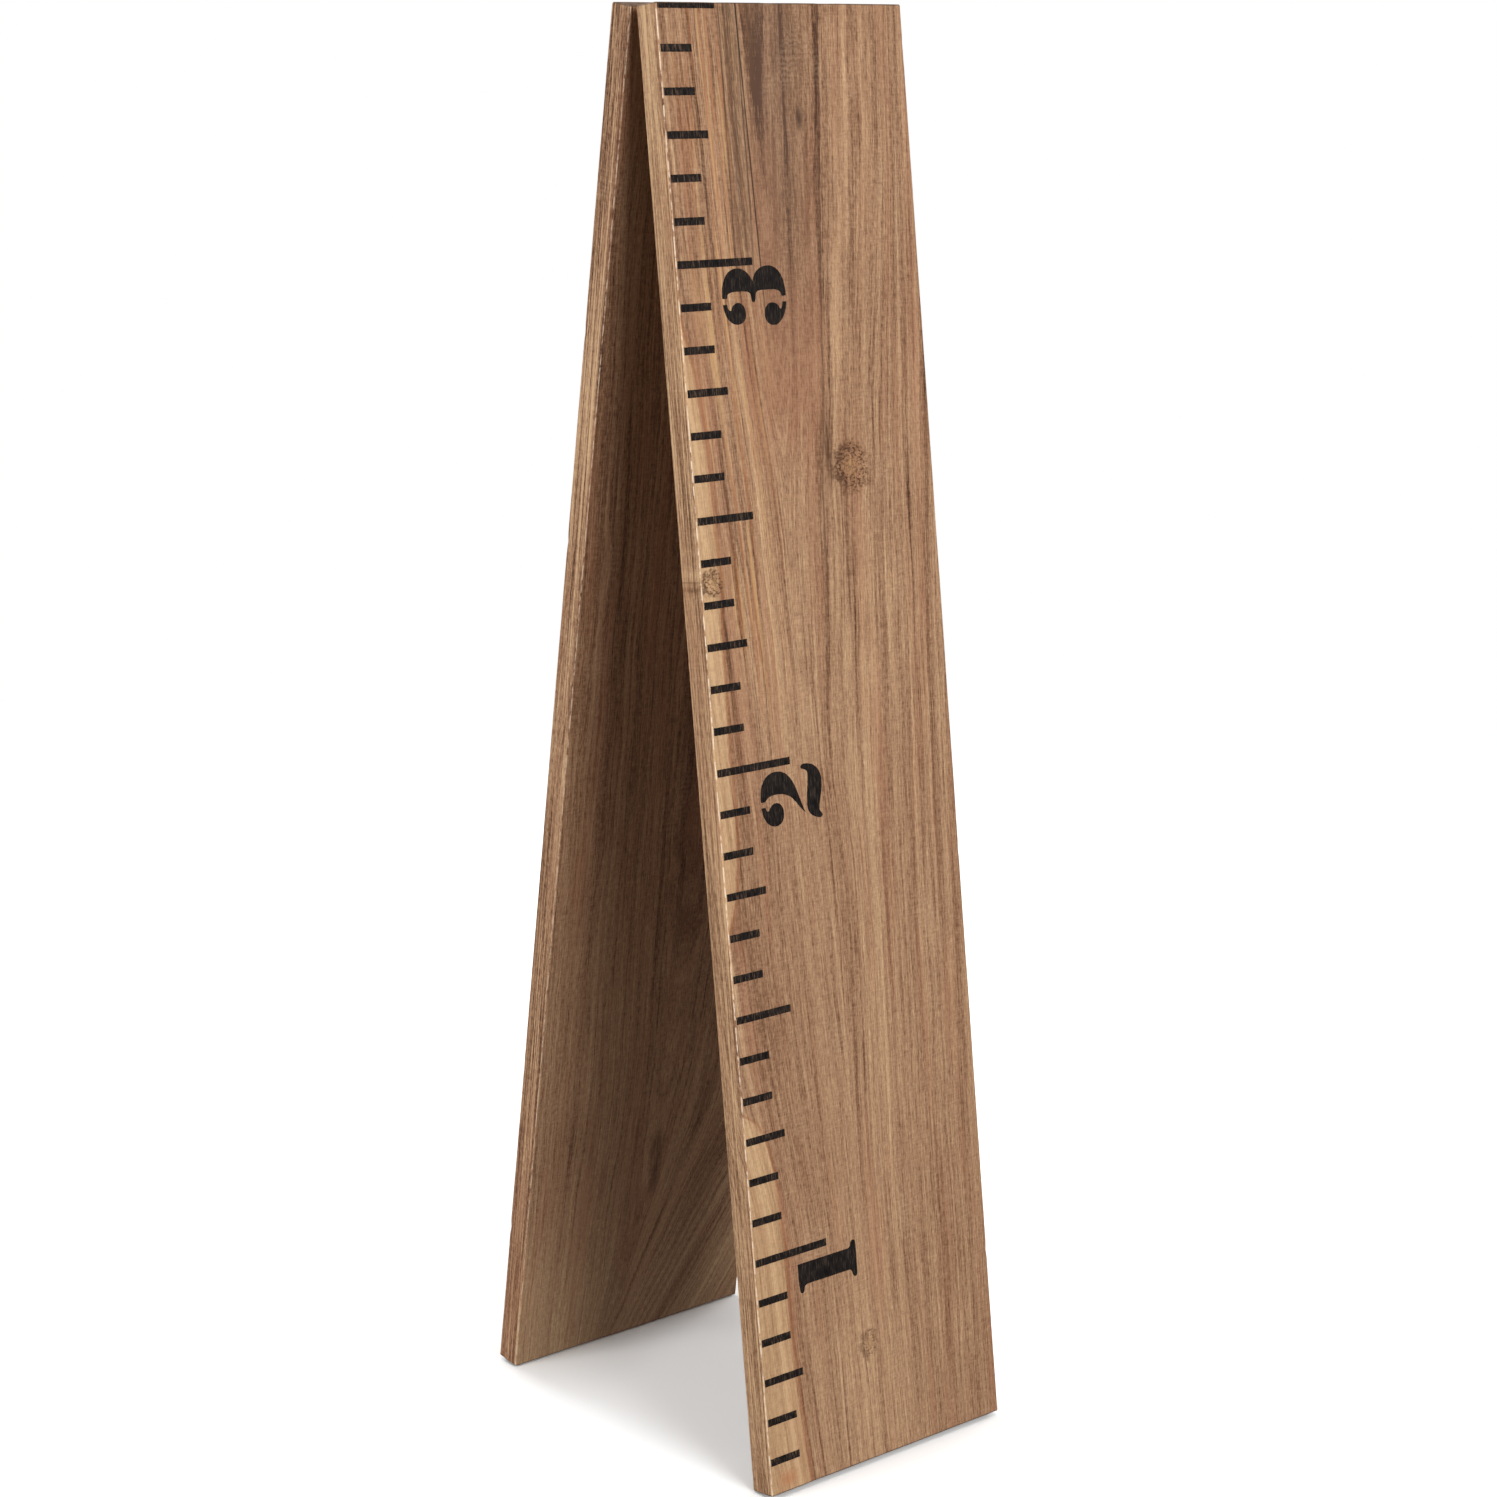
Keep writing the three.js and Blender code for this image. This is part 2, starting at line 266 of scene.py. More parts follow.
def add_bump(tree, shader, height, distance):
    """Lets a height, 0 to 1, stand out by that many millimetres."""
    node = tree.nodes.new("ShaderNodeBump")
    node.inputs["Strength"].default_value = 1.0
    node.inputs["Distance"].default_value = distance * MM
    plug(tree, node.inputs["Height"], height)
    tree.links.new(node.outputs["Normal"], shader.inputs["Normal"])


# ---------------------------------------------------------------------------- wood

# Growth lines of the lower plank on its scale face, each numbered by about where it is at s = 300
LOWER_LINES = [
    (-4, [(0, 36), (90, 27), (160, 22), (260, 2), (345, -8), (912, -40)]),
    (53, [(0, 67), (160, 63), (300, 53), (420, 50), (600, 41), (720, 33), (912, 24)]),
    (78, [(0, 88), (150, 83), (300, 78), (500, 69), (600, 65), (700, 56), (912, 46)]),
    (85, [(0, 92), (300, 85), (420, 80), (600, 77), (690, 88), (790, 92), (912, 98)]),
    (98, [(0, 97), (180, 94), (380, 100), (440, 95), (560, 102), (720, 114), (912, 129)]),
    (131, [(0, 129), (300, 131), (520, 141), (680, 152), (760, 164), (912, 175)]),
    (166, [(0, 163), (300, 166), (600, 178), (912, 194)]),
    (203, [(0, 197), (300, 203), (600, 214), (912, 232)]),
]
# Growth lines of the upper plank on its back
UPPER_LINES = [
    (-4, [(0, -4), (912, -8)]),
    (34, [(0, 30), (300, 38), (600, 34), (912, 28)]),
    (60, [(0, 58), (200, 70), (450, 64), (912, 52)]),
    (84, [(0, 74), (70, 100), (150, 122), (300, 140), (600, 128), (912, 112)]),
    (110, [(0, 89), (90, 140), (194, 190), (400, 215), (912, 190)]),
    (150, [(0, 118), (90, 178), (160, 225), (912, 240)]),
]
# Where the lower plank's sapwood ends on its scale face, as (s, u)
SAP_EDGE = [
    (0, 34), (90, 27), (200, 21), (232, 12), (250, -6), (335, -6), (380, 9), (480, 12),
    (600, 14), (680, 10), (760, -6), (912, -6),
]
# What differs between the planks. A knot is its (s, u) middle, its reach along and across,
# and how strongly it shows; the smear is its (s, u) middle and its reach across.
PLANKS = {
    "lower": {
        "seed": 0.0,
        "lines": LOWER_LINES,
        "knots": [((629, 129), (16, 16), 0.95), ((75, 90), (10, 8), 0.6), ((568, 9), (9, 9), 0.9)],
        "smear": ((640.0, 111.0), 5.0),
        "heart": 84.0,
        "wander": 5.5,
        "ripple": 2.2,
        "arch": 1.3,
        "broad": 0.35,
        "medium": 0.55,
        "late": 0.13,
        "calm_middle": 60.0,
        "calm_bands": -0.45,
    },
    "upper": {
        "seed": 40.0,
        "lines": UPPER_LINES,
        "knots": [((129, 109), (24, 6), 0.35), ((660, 150), (10, 9), 0.8)],
        "smear": ((130.0, 110.0), 7.0),
        "heart": 120.0,
        "wander": 12.0,
        "ripple": 3.0,
        "arch": 0.9,
        "broad": 0.7,
        "medium": 0.6,
        "late": 0.15,
        "calm_middle": 40.0,
        "calm_bands": -0.25,
    },
}
RING_TURN = 138.0  # how strongly the rings turn through the plank's thickness
HEART_DEPTH = 30.0
RING_PITCH = 4.6
LINE_REACH = 2.5  # half the width of a growth line that shows as a dark one
STREAK_LINE = 55.0  # the middle of the lower plank's mottled band at its head
STREAK_REACH = 7.0
CRACK_START = 91.8  # u of the lower plank's fine crack, drawn back to s = 0
CRACK_SLANT = -0.033
SEAM_LINE = 98.0
PIP = (843.0, 107.0)  # (s, u) of the lower plank's small dark spot
STAIN = (8.0, 15.0)  # (s, u) of its stained corner
MIDDLE_TONE = 0.505


def object_place(tree):
    """A point's place on the piece, in millimetres."""
    node = tree.nodes.new("ShaderNodeTexCoord")
    split = tree.nodes.new("ShaderNodeSeparateXYZ")
    tree.links.new(node.outputs["Object"], split.inputs[0])
    return [Value(tree, out) * 1000.0 for out in split.outputs]


def plank_places(tree):
    """In millimetres: u from the marked side, s from the free end, w from the scale face,
    and the distances to the nearest side, end and broad face."""
    x, y, z = object_place(tree)
    out = y.abs()
    down = FOLD_AXIS.z / MM - z
    u = x + BOARD_WIDTH / 2
    s = (AXIS_TO_END + BOARD_LENGTH) - (out * math.sin(LEAN) + down * math.cos(LEAN))
    w = FACE - (out * math.cos(LEAN) - down * math.sin(LEAN))
    to_side = BOARD_WIDTH / 2 - x.abs()
    to_end = s.min(BOARD_LENGTH - s)
    to_face = w.min((FACE - BACK) - w)
    return u, s, w, to_side, to_end, to_face


def along_lines(u, s, lines):
    """Which growth line a point is on. Each of the lines is (its number, its (s, u) points),
    in order across the plank, and the number runs evenly between two of them."""
    places = [s.curve(points) for _, points in lines]
    numbers = [number for number, _ in lines]
    total = (u - places[0]).min(0.0) + numbers[0]
    for index in range(len(lines) - 1):
        gap = places[index + 1] - places[index]
        part = ((u - places[index]) / gap).clamp()
        total = total + part * (numbers[index + 1] - numbers[index])
    return total + (u - places[-1]).max(0.0), places


def arches(u, first, second):
    """Extra lines where two growth lines draw apart: they follow the first, turn in an arch
    and come back along the second."""
    over, under = u - first, second - u
    return (over * under / (second - first)).max(0.0)


class Wood:
    """The wood of one plank: its material, a point's place in it, and what its parts share.
    dark and colour are how dark and what colour it has become so far."""

    def __init__(self, name, half):
        self.material, self.tree, self.shader = new_material(name)
        self.lower = half == "lower"
        self.kind = PLANKS[half]
        self.u, self.s, self.w, self.to_side, self.to_end, self.to_face = plank_places(self.tree)
        self.side = self.to_side.step(0.2, 0.9, 1.0, 0.0)

    def noise(self, x, y=0.0, z=0.0, seed=0, **texture):
        return cloud(self.tree, x, y, z, seed=self.kind["seed"] + seed, **texture)

    def tint(self, factor, red, green, blue):
        """Mixes a colour, as it looks from 0 to 255, into the wood's by that factor."""
        self.colour = mix(self.tree, factor, self.colour, srgb(red, green, blue))


def knot(wood, middle, size, seed):
    """(closeness to a knot, its heart, its dark marks): closeness is 1 inside it and fades
    round it."""
    across = (wood.u - middle[1]) / size[1]
    along = (wood.s - middle[0]) / size[0]
    wobble = wood.noise(wood.u / 5.0, wood.s / 5.0, seed=seed) - 0.5
    distance = (across * across + along * along).sqrt() + wobble * 1.1
    close = distance.step(0.7, 1.2, 1.0, 0.0)
    rings = (distance * 10.0 + wobble * 8.0).sin().step(0.1, 0.9)
    mottle = wood.noise(wood.u / 2.2, wood.s / 1.5, detail=3.0, roughness=0.6, seed=seed + 3)
    rim = distance.near(0.75, 0.4) * across.step(-0.5, 0.3, 1.0, 0.0)
    heart = distance.step(0.1, 0.55, 1.0, 0.0)
    dark = mottle.step(0.5, 0.56) * (heart * -0.5 + 0.85) + rings * 0.3 + rim * 0.5
    return close, heart, dark.clamp()


def lay_growth_lines(wood):
    """Finds the growth line that a point is on: q, with frayed edges, from flat, its place
    carried through the thickness to the face where the lines are drawn."""
    u, s, w, kind = wood.u, wood.s, wood.w, wood.kind
    # Through the thickness the rings curve round the tree's heart, so the lines open outwards
    depth = w if wood.lower else (FACE - BACK) - w
    off = u - kind["heart"]
    spread = (depth * RING_TURN / (off * off + HEART_DEPTH ** 2) + 1.0).sqrt()
    wander = (wood.noise(u / 70.0, s / 160.0, w / 40.0, detail=1.0) - 0.5) * kind["wander"]
    ripple = (wood.noise(u / 16.0, s / 60.0, w / 16.0, seed=1) - 0.5) * kind["ripple"]
    flat = off * spread + kind["heart"] + wander + ripple
    wood.knots = []
    for index, (middle, size, force) in enumerate(kind["knots"]):
        bend = (u - middle[1]).near(0.0, size[1] * 2.2) * (s - middle[0]).near(0.0, size[0] * 3.0)
        flat = flat - (u - middle[1]) * bend * 0.22
        wood.knots.append((*knot(wood, middle, size, 60 + index), force))
    q, places = along_lines(flat, s, kind["lines"])
    q = q + arches(flat, places[2], places[3]) * kind["arch"]
    wood.fray = wood.noise(u / 1.3, s / 24.0, w / 1.3, roughness=0.6, seed=15)
    wood.q = q + (wood.fray - 0.5) * 2.2
    wood.flat = flat


def late_wood(wood):
    """The dark late wood that ends each ring, and how strongly it shows in that ring."""
    uneven = (wood.noise(wood.q / 12.0, detail=1.0, seed=6) - 0.5) * 14.0
    turn = (wood.q + uneven) / RING_PITCH
    ring = turn.fract()
    late = ring.step(0.55, 0.94) * ring.step(0.94, 1.0, 1.0, 0.0)
    strength = wood.noise(turn.floor() * 3.7, wood.s / 240.0, detail=0.0, seed=7).step(0.4, 0.7)
    return late, strength


def lay_bands(wood):
    """Light and dark across the growth lines, from broad bands to single fibres, all fainter
    in the plank's calm stretch."""
    u, s, w, q, kind = wood.u, wood.s, wood.w, wood.q, wood.kind
    broad = wood.noise(q / 34.0, s / 900.0, detail=1.0, seed=2)
    medium = wood.noise(q / 9.0, s / 300.0, seed=3)
    wood.fine = wood.noise(q / 2.6, s / 200.0, seed=4)
    wood.thread = wood.noise(q / 0.8, s / 45.0, detail=3.0, roughness=0.6, seed=5)
    wood.fleck = wood.noise(u / 0.9, s / 5.0, w / 0.9, detail=3.0, roughness=0.65, seed=16)
    chatter = wood.noise(u / 6.0, s / 1.2, w / 6.0, seed=19)
    wood.late, strength = late_wood(wood)
    wood.calm = (u - kind["calm_middle"]).near(0.0, 62.0) * s.between(120.0, 400.0, 90.0)
    veins = wood.noise(q / 5.5, s / 300.0, detail=1.0, seed=23).near(0.5, 0.045)
    veins = veins * wood.noise(q / 8.0, s / 130.0, detail=1.0, seed=24).step(0.42, 0.6)
    vein_force = s.step(360.0, 560.0, 0.07, 0.22) if wood.lower else 0.05
    bands = (medium - 0.5) * kind["medium"] + (wood.fine - 0.5) * 0.7
    wood.dark = (
        (broad - 0.5) * kind["broad"]
        + bands * (wood.calm * kind["calm_bands"] + 1.0)
        + (wood.thread - 0.5) * 1.15
        + (wood.fleck - 0.5) * 1.15
        + (chatter - 0.5) * 0.4
        + wood.late * strength * kind["late"]
        + veins * (wood.calm * -0.7 + 1.0) * vein_force
    )


def shade_lower_lines(wood):
    """Random rings, and the lower plank's drawn growth lines as dark ones."""
    u, s, q = wood.u, wood.s, wood.q
    steady = wood.noise(q / 8.0, s / 170.0, detail=1.0, seed=8).step(0.3, 0.7, 0.55, 1.35)
    faded = (u - 145.0).near(0.0, 75.0) * s.step(150.0, 320.0, 1.0, 0.0)
    contrast = steady * (faded.max(wood.calm * 1.5) * -0.4 + 1.0)
    tone = wood.noise(q / 6.0, s / 900.0, detail=1.0, seed=26) - 0.5
    shown = [(q - number).near(0.0, LINE_REACH) for number, _ in LOWER_LINES[1:-1]]
    drawn = shown[0]
    for line in shown[1:]:
        drawn = drawn.max(line)
    wood.dark = wood.dark + (tone * 0.8 + drawn * 0.16 - 0.02) * contrast


def shade_lower_stretches(wood):
    """The lower plank's lighter and darker stretches, and the cloud beside its crack."""
    u, s = wood.u, wood.s
    dark = wood.dark + u.step(120.0, 175.0) * s.step(330.0, 560.0, 1.0, 0.0) * 0.04
    dark = dark + (u - 30.0).near(0.0, 40.0) * s.between(120.0, 420.0, 90.0) * 0.06
    dark = dark - (u - 78.0).near(0.0, 45.0) * s.step(60.0, 200.0, 1.0, 0.0) * 0.12
    dark = dark - (u - 78.0).near(0.0, 40.0) * s.between(470.0, 620.0, 60.0) * 0.06
    past_crack = u + s * -CRACK_SLANT - CRACK_START
    clouded = past_crack.step(0.0, 4.0) * wood.q.step(96.6, 98.4, 1.0, 0.0)
    dark = dark + clouded * s.step(640.0, 800.0) * 0.15
    wood.dark = dark - (u - 130.0).near(0.0, 70.0) * s.step(40.0, 180.0, 1.0, 0.0) * 0.08


def shade_sides(wood):
    """The narrow sides show the rings edge on, as close threads."""
    s, w = wood.s, wood.w
    edge_on = wood.noise(w / 0.9 + s / 160.0, s / 90.0, detail=3.0, roughness=0.6, seed=18)
    strands = wood.noise(w / 2.4 + s / 210.0, s / 260.0, seed=22)
    dark = wood.dark + wood.side * ((edge_on - 0.5) * 1.2 + (wood.fleck - 0.5) * 0.5)
    bright = strands.near(0.62, 0.1) * 0.2
    wood.dark = dark + wood.side * (strands.near(0.5, 0.09) * 0.34 - bright - 0.09)


def shade_lower_sap(wood):
    """The lower plank's pale sapwood, which comes up to the scale face along two stretches
    of the marked side."""
    s, side = wood.s, wood.side
    dark = wood.dark - side * s.step(560.0, 800.0) * 0.14
    dark = dark + side * (s.near(565.0, 3.0) * 0.3 - s.near(574.0, 6.0) * 0.25)
    wood.rise = wood.flat - s.curve(SAP_EDGE) - wood.w * 3.0
    wood.sap = wood.rise.step(-2.0, 1.2, 1.0, 0.0)
    dark = dark - wood.sap * (0.2 - side * 0.12)
    dark = dark - (wood.sap * (1.0 - side)) * s.step(300.0, 400.0) * 0.14
    wood.dark = dark - wood.rise.near(-9.0, 5.0) * (1.0 - side) * 0.16


def shade_upper_stretches(wood):
    """The upper plank's soft diagonal bands, painted light at the foot of its back, strongest at
    the marked side, and painted shade on its back further up.
    """
    u, s, w = wood.u, wood.s, wood.w
    dark = wood.dark + wood.side * (s - 600.0).near(0.0, 330.0) * -0.12
    soft = wood.noise(wood.q / 8.0, s / 400.0, detail=0.0, seed=25) - 0.5
    dark = dark + soft * u.step(50.0, 110.0) * s.step(160.0, 360.0, 1.0, 0.0) * 0.9
    # Painted light: the foot of the back is made lighter, most of all towards the marked side.
    foot = w.step(15.0, 17.5) * s.step(0.0, 170.0, 1.0, 0.0)
    dark = dark - foot * u.step(0.0, 110.0, 1.0, 0.45) * 0.32
    # Painted shade: the back is made darker from about s = 220 upwards, where the other plank
    # keeps the light off.
    wood.dark = dark + w.step(16.0, 17.5) * s.step(220.0, 430.0) * 0.16


def colour_ground(wood):
    """Pale to dark brown, with redder stretches."""
    stops = [
        (0.0, srgb(203, 168, 130)),
        (1.0, srgb(74, 47, 33)),
        (0.25, srgb(181, 145, 111)),
        (0.5, srgb(158, 121, 92)),
        (0.75, srgb(123, 88, 64)),
    ]
    wood.colour = ramp(wood.tree, wood.dark + MIDDLE_TONE, stops)
    red = wood.noise(wood.q / 14.0, wood.s / 200.0, seed=9).step(0.48, 0.7)
    wood.tint(red * 0.32, 164, 112, 84)


def colour_lower_head(wood):
    """The greyer head of the lower plank, with its warm threads and mottled band."""
    s, q, flat = wood.s, wood.q, wood.flat
    grey = s.step(640.0, 860.0) * (wood.u - 88.0).near(0.0, 44.0)
    wood.tint(grey * 0.3, 116, 92, 76)
    ember = wood.noise(q / 3.0, s / 150.0, detail=1.0, seed=20).step(0.5, 0.68)
    glint = wood.noise(q / 3.4, s / 130.0, detail=1.0, seed=21).step(0.52, 0.7)
    warm = (flat - 36.0).near(0.0, 42.0) * s.step(430.0, 560.0)
    wood.tint(ember * warm * 0.5, 162, 100, 62)
    wood.tint(glint * warm * 0.55, 206, 164, 112)
    streak = s.between(790.0, 912.0, 60.0) * (flat - STREAK_LINE).near(0.0, 10.0)
    smudge = wood.noise(q / 1.1, s / 11.0, detail=3.0, roughness=0.65, seed=17)
    wood.tint(streak * smudge.step(0.4, 0.6, 0.2, 0.85), 86, 65, 50)
    bounds = (flat - STREAK_LINE).abs().near(STREAK_REACH, 1.2) * s.step(700.0, 790.0)
    wood.tint(bounds * wood.fray.step(0.3, 0.5) * 0.75, 66, 45, 34)


def colour_lower_details(wood):
    """The lower plank's stained corner, sapwood, crack, seam and pip."""
    u, s = wood.u, wood.s
    stain = (u - STAIN[1]).near(0.0, 12.0) * (s - STAIN[0]).near(0.0, 9.0)
    wood.tint(stain * 0.7, 172, 98, 64)
    wood.tint(wood.rise.near(1.2, 2.2) * 0.45, 156, 98, 62)
    wood.tint(wood.sap * (0.24 - wood.side * 0.14), 198, 160, 114)
    crack = (u - (s * CRACK_SLANT + CRACK_START)).near(0.0, 0.95) * s.step(690.0, 760.0)
    wood.tint(crack * 0.95, 40, 27, 21)
    seam = (wood.q - SEAM_LINE).near(0.0, 0.9) * s.step(440.0, 600.0)
    wood.tint(seam * 0.6, 76, 52, 38)
    pip = (u - PIP[1]).near(0.0, 5.0) * (s - PIP[0]).near(0.0, 11.0)
    wood.tint(pip * wood.fray.step(0.25, 0.5) * 0.95, 66, 46, 34)


def colour_knots(wood):
    for close, core, marks, force in wood.knots:
        wood.tint(close * 0.25 * force, 158, 112, 76)
        wood.tint(core * 0.35 * force, 190, 148, 100)
        wood.tint(close * marks * force, 74, 47, 32)
    (along, across), reach = wood.kind["smear"]
    smear = (wood.u - across).near(0.0, reach) * (wood.s - along).near(0.0, 36.0)
    wood.tint(smear * wood.fray.step(0.3, 0.55) * 0.9, 84, 55, 38)


def colour_pores_and_curl(wood):
    """Pores are short dark dashes along the grain, curl is fine cross ripples in patches."""
    u, s, w, q = wood.u, wood.s, wood.w, wood.q
    wood.pore = wood.noise(q / 0.42, s / 5.0, w / 0.42, seed=10).step(0.6, 0.78)
    wood.tint(wood.pore * 0.35, 92, 66, 48)
    patch = wood.noise(u / 30.0, s / 60.0, detail=1.0, seed=11).step(0.58, 0.7)
    curl = ((s / 1.7 + (wood.noise(u / 4.0, s / 9.0, seed=12) - 0.5) * 6.0) * 3.1).sin()
    wood.tint(patch * (curl * 0.5 + 0.5) * 0.12, 214, 182, 146)


def colour_edges(wood):
    """Dark end grain; pale arrises, partly rubbed wear and partly painted highlight; a brighter
    painted highlight where the scale face meets the marked side; and painted shade along the plain
    side's arrises.
    """
    u, s, w = wood.u, wood.s, wood.w
    end = wood.to_end.step(0.4, 1.2, 1.0, 0.0)
    grain = wood.noise(u / 0.7, w / 0.7, seed=13)
    wood.tint(end * grain.step(0.3, 0.7, 0.6, 0.9), 66, 47, 35)
    # The pale tint on the arrises is partly rubbed wear and partly a painted highlight.
    arris = wood.to_side.max(wood.to_face).step(0.1, 0.9, 1.0, 0.0)
    rub_and_highlight = wood.noise(u / 6.0, s / 9.0, w / 6.0, detail=3.0, roughness=0.65, seed=14)
    wood.tint(arris * rub_and_highlight.step(0.42, 0.56) * 0.85, 226, 204, 176)
    # Painted highlight: a brighter broken line on the arris between the scale face and the marked
    # side, where the light falls.
    painted_highlight = arris * u.step(1.0, 8.0, 1.0, 0.0) * w.step(1.0, 6.0, 1.0, 0.0)
    wood.tint(painted_highlight * rub_and_highlight.step(0.44, 0.56) * 0.8, 240, 222, 198)
    # Painted shade: a darker line on the arrises of the plain side, away from the light.
    wood.tint(arris * u.step(190.0, 199.0) * 0.75, 98, 74, 58)


def finish_surface(wood):
    """The colour, with roughness and relief from the same fibres and pores."""
    shader = wood.shader
    plug(wood.tree, shader.inputs["Base Color"], wood.colour)
    rough = wood.thread * 0.18 + wood.pore * 0.15 + 0.5
    plug(wood.tree, shader.inputs["Roughness"], rough)
    shader.inputs["Specular IOR Level"].default_value = 0.16
    relief = wood.thread * 0.5 + wood.fine * 0.4 - wood.pore * 0.5 + wood.late * 0.2
    add_bump(wood.tree, shader, relief, 0.12)


def make_wood(name, half):
    wood = Wood(name, half)
    lay_growth_lines(wood)
    lay_bands(wood)
    if wood.lower:
        shade_lower_lines(wood)
        shade_lower_stretches(wood)
    shade_sides(wood)
    if wood.lower:
        shade_lower_sap(wood)
    else:
        shade_upper_stretches(wood)
    colour_ground(wood)
    if wood.lower:
        colour_lower_head(wood)
        colour_lower_details(wood)
    colour_knots(wood)
    colour_pores_and_curl(wood)
    colour_edges(wood)
    finish_surface(wood)
    return wood.material


# ---------------------------------------------------------------------------- planks

# How far in from an edge the grid lines are that round it
EDGE_STEPS = [0.0, 0.18, 0.4, 0.65, 0.95, 1.35, 1.9, 2.6]
GRID_STEPS = (22, 170, 4)  # across, along and through a plank, between its edges
LEAST_WEAR = 1.1
USUAL_WEAR = 1.2
MOST_WEAR = 2.4
# A screw hole's (radius, depth below the back), from the mouth to the point
SCREW_HOLE = [(2.35, -0.4), (2.35, 0.05), (1.5, 1.0), (1.5, 9.6), (0.4, 11.2)]
SCREW_HOLE_SIDES = 24


def edge_lines(low, high, count):
    """Grid lines from low to high: close together next to both ends, for the worn edges."""
    start = low + EDGE_STEPS[-1]
    step = (high - EDGE_STEPS[-1] - start) / count
    middle = [start + step * index for index in range(1, count)]
    first = [low + inset for inset in EDGE_STEPS]
    last = [high - inset for inset in reversed(EDGE_STEPS)]
    return first + middle + last


def board_limits(side):
    ends = sorted((side * AXIS_TO_END, side * (AXIS_TO_END + BOARD_LENGTH)))
    return (
        Vector((-BOARD_WIDTH / 2, ends[0], BACK)),
        Vector((BOARD_WIDTH / 2, ends[1], FACE)),
    )


def wear_radius(point, side):
    """How far the edge is rounded at this place: a little unevenly, with a few small knocks."""
    spot = point + Vector((31.0, 17.0 * side, 53.0))
    slow = noise.noise(spot / 38.0)
    quick = noise.noise(spot / 7.0)
    knock = max(0.0, noise.noise(spot / 11.0 + Vector((9.0, 0.0, 0.0))) - 0.42)
    wear = USUAL_WEAR + 0.3 * slow + 0.12 * quick + 5.0 * knock
    return min(MOST_WEAR, max(LEAST_WEAR, wear))


def eased(point, side):
    """(the point moved onto the worn outline, the direction that it faces there)."""
    low, high = board_limits(side)
    radius = wear_radius(point, side)
    inner = Vector(
        min(max(p, a + radius), b - radius) for p, a, b in zip(point, low, high)
    )
    facing = (point - inner).normalized()
    return inner + facing * radius, facing


def board_mesh(name, side):
    low, high = board_limits(side)
    grid = [edge_lines(a, b, n) for a, b, n in zip(low, high, GRID_STEPS)]
    mesh = bmesh.new()
    made = {}

    def corner(place):
        if place not in made:
            flat = Vector(grid[axis][index] for axis, index in enumerate(place))
            made[place] = mesh.verts.new(eased(flat, side)[0] * MM)
        return made[place]

    for axis in range(3):
        first, second = (axis + 1) % 3, (axis + 2) % 3
        for at_top in (False, True):
            level = len(grid[axis]) - 1 if at_top else 0
            for a in range(len(grid[first]) - 1):
                for b in range(len(grid[second]) - 1):
                    ring = [(a, b), (a + 1, b), (a + 1, b + 1), (a, b + 1)]
                    if not at_top:
                        ring.reverse()
                    places = []
                    for one, two in ring:
                        place = [0, 0, 0]
                        place[axis], place[first], place[second] = level, one, two
                        places.append(tuple(place))
                    mesh.faces.new([corner(place) for place in places])
    for face in mesh.faces:
        face.smooth = True
    return finish_mesh(mesh, name)


def ring_of_points(mesh, centre, radius, depth):
    turns = [2 * math.pi * k / SCREW_HOLE_SIDES for k in range(SCREW_HOLE_SIDES)]
    offsets = [Vector((radius * math.cos(t), radius * math.sin(t), depth)) for t in turns]
    return [mesh.verts.new((centre + offset) * MM) for offset in offsets]


def screw_cutter(side):
    """The countersunk holes that a plank has for its hinge screws, as one mesh."""
    mesh = bmesh.new()
    for middle in HINGE_MIDDLES:
        for along, away in SCREW_PLACES:
            centre = Vector((middle + along, side * away, BACK))
            rings = [ring_of_points(mesh, centre, *entry) for entry in SCREW_HOLE]
            for one, two in zip(rings, rings[1:]):
                for k in range(SCREW_HOLE_SIDES):
                    n = (k + 1) % SCREW_HOLE_SIDES
                    mesh.faces.new((one[k], one[n], two[n], two[k]))
            mesh.faces.new(list(reversed(rings[0])))
            mesh.faces.new(rings[-1])
    return finish_mesh(mesh, "screw_cutter")


def make_board(half, material):
    side = SIDES[half]
    piece = new_object(half + "_plank", board_mesh(half + "_plank", side), material)
    cutter = bpy.data.objects.new("screw_cutter", screw_cutter(side))
    bpy.context.scene.collection.objects.link(cutter)
    holes = piece.modifiers.new("screw holes", "BOOLEAN")
    holes.object = cutter
    holes.operation = "DIFFERENCE"
    holes.solver = "EXACT"
    bpy.context.view_layer.update()
    graph = bpy.context.evaluated_depsgraph_get()
    cut = bpy.data.meshes.new_from_object(piece.evaluated_get(graph))
    piece.modifiers.clear()
    piece.data = cut
    bpy.data.objects.remove(cutter)
    normals = piece.modifiers.new("even shading", "WEIGHTED_NORMAL")
    normals.keep_sharp = True
    return place(piece, half, half + "_board", slot="board_wood")


# ---------------------------------------------------------------------------- paint

BLEED = 0.16  # how far a painted edge strays
COLUMN_STEP = 1.2  # between the paint skin's grid lines, across and along the plank
ROW_STEP = 0.55
OUTLINE_STEP = 0.8
MARK_KINDS = ((12, "foot"), (6, "half"), (3, "quarter"))


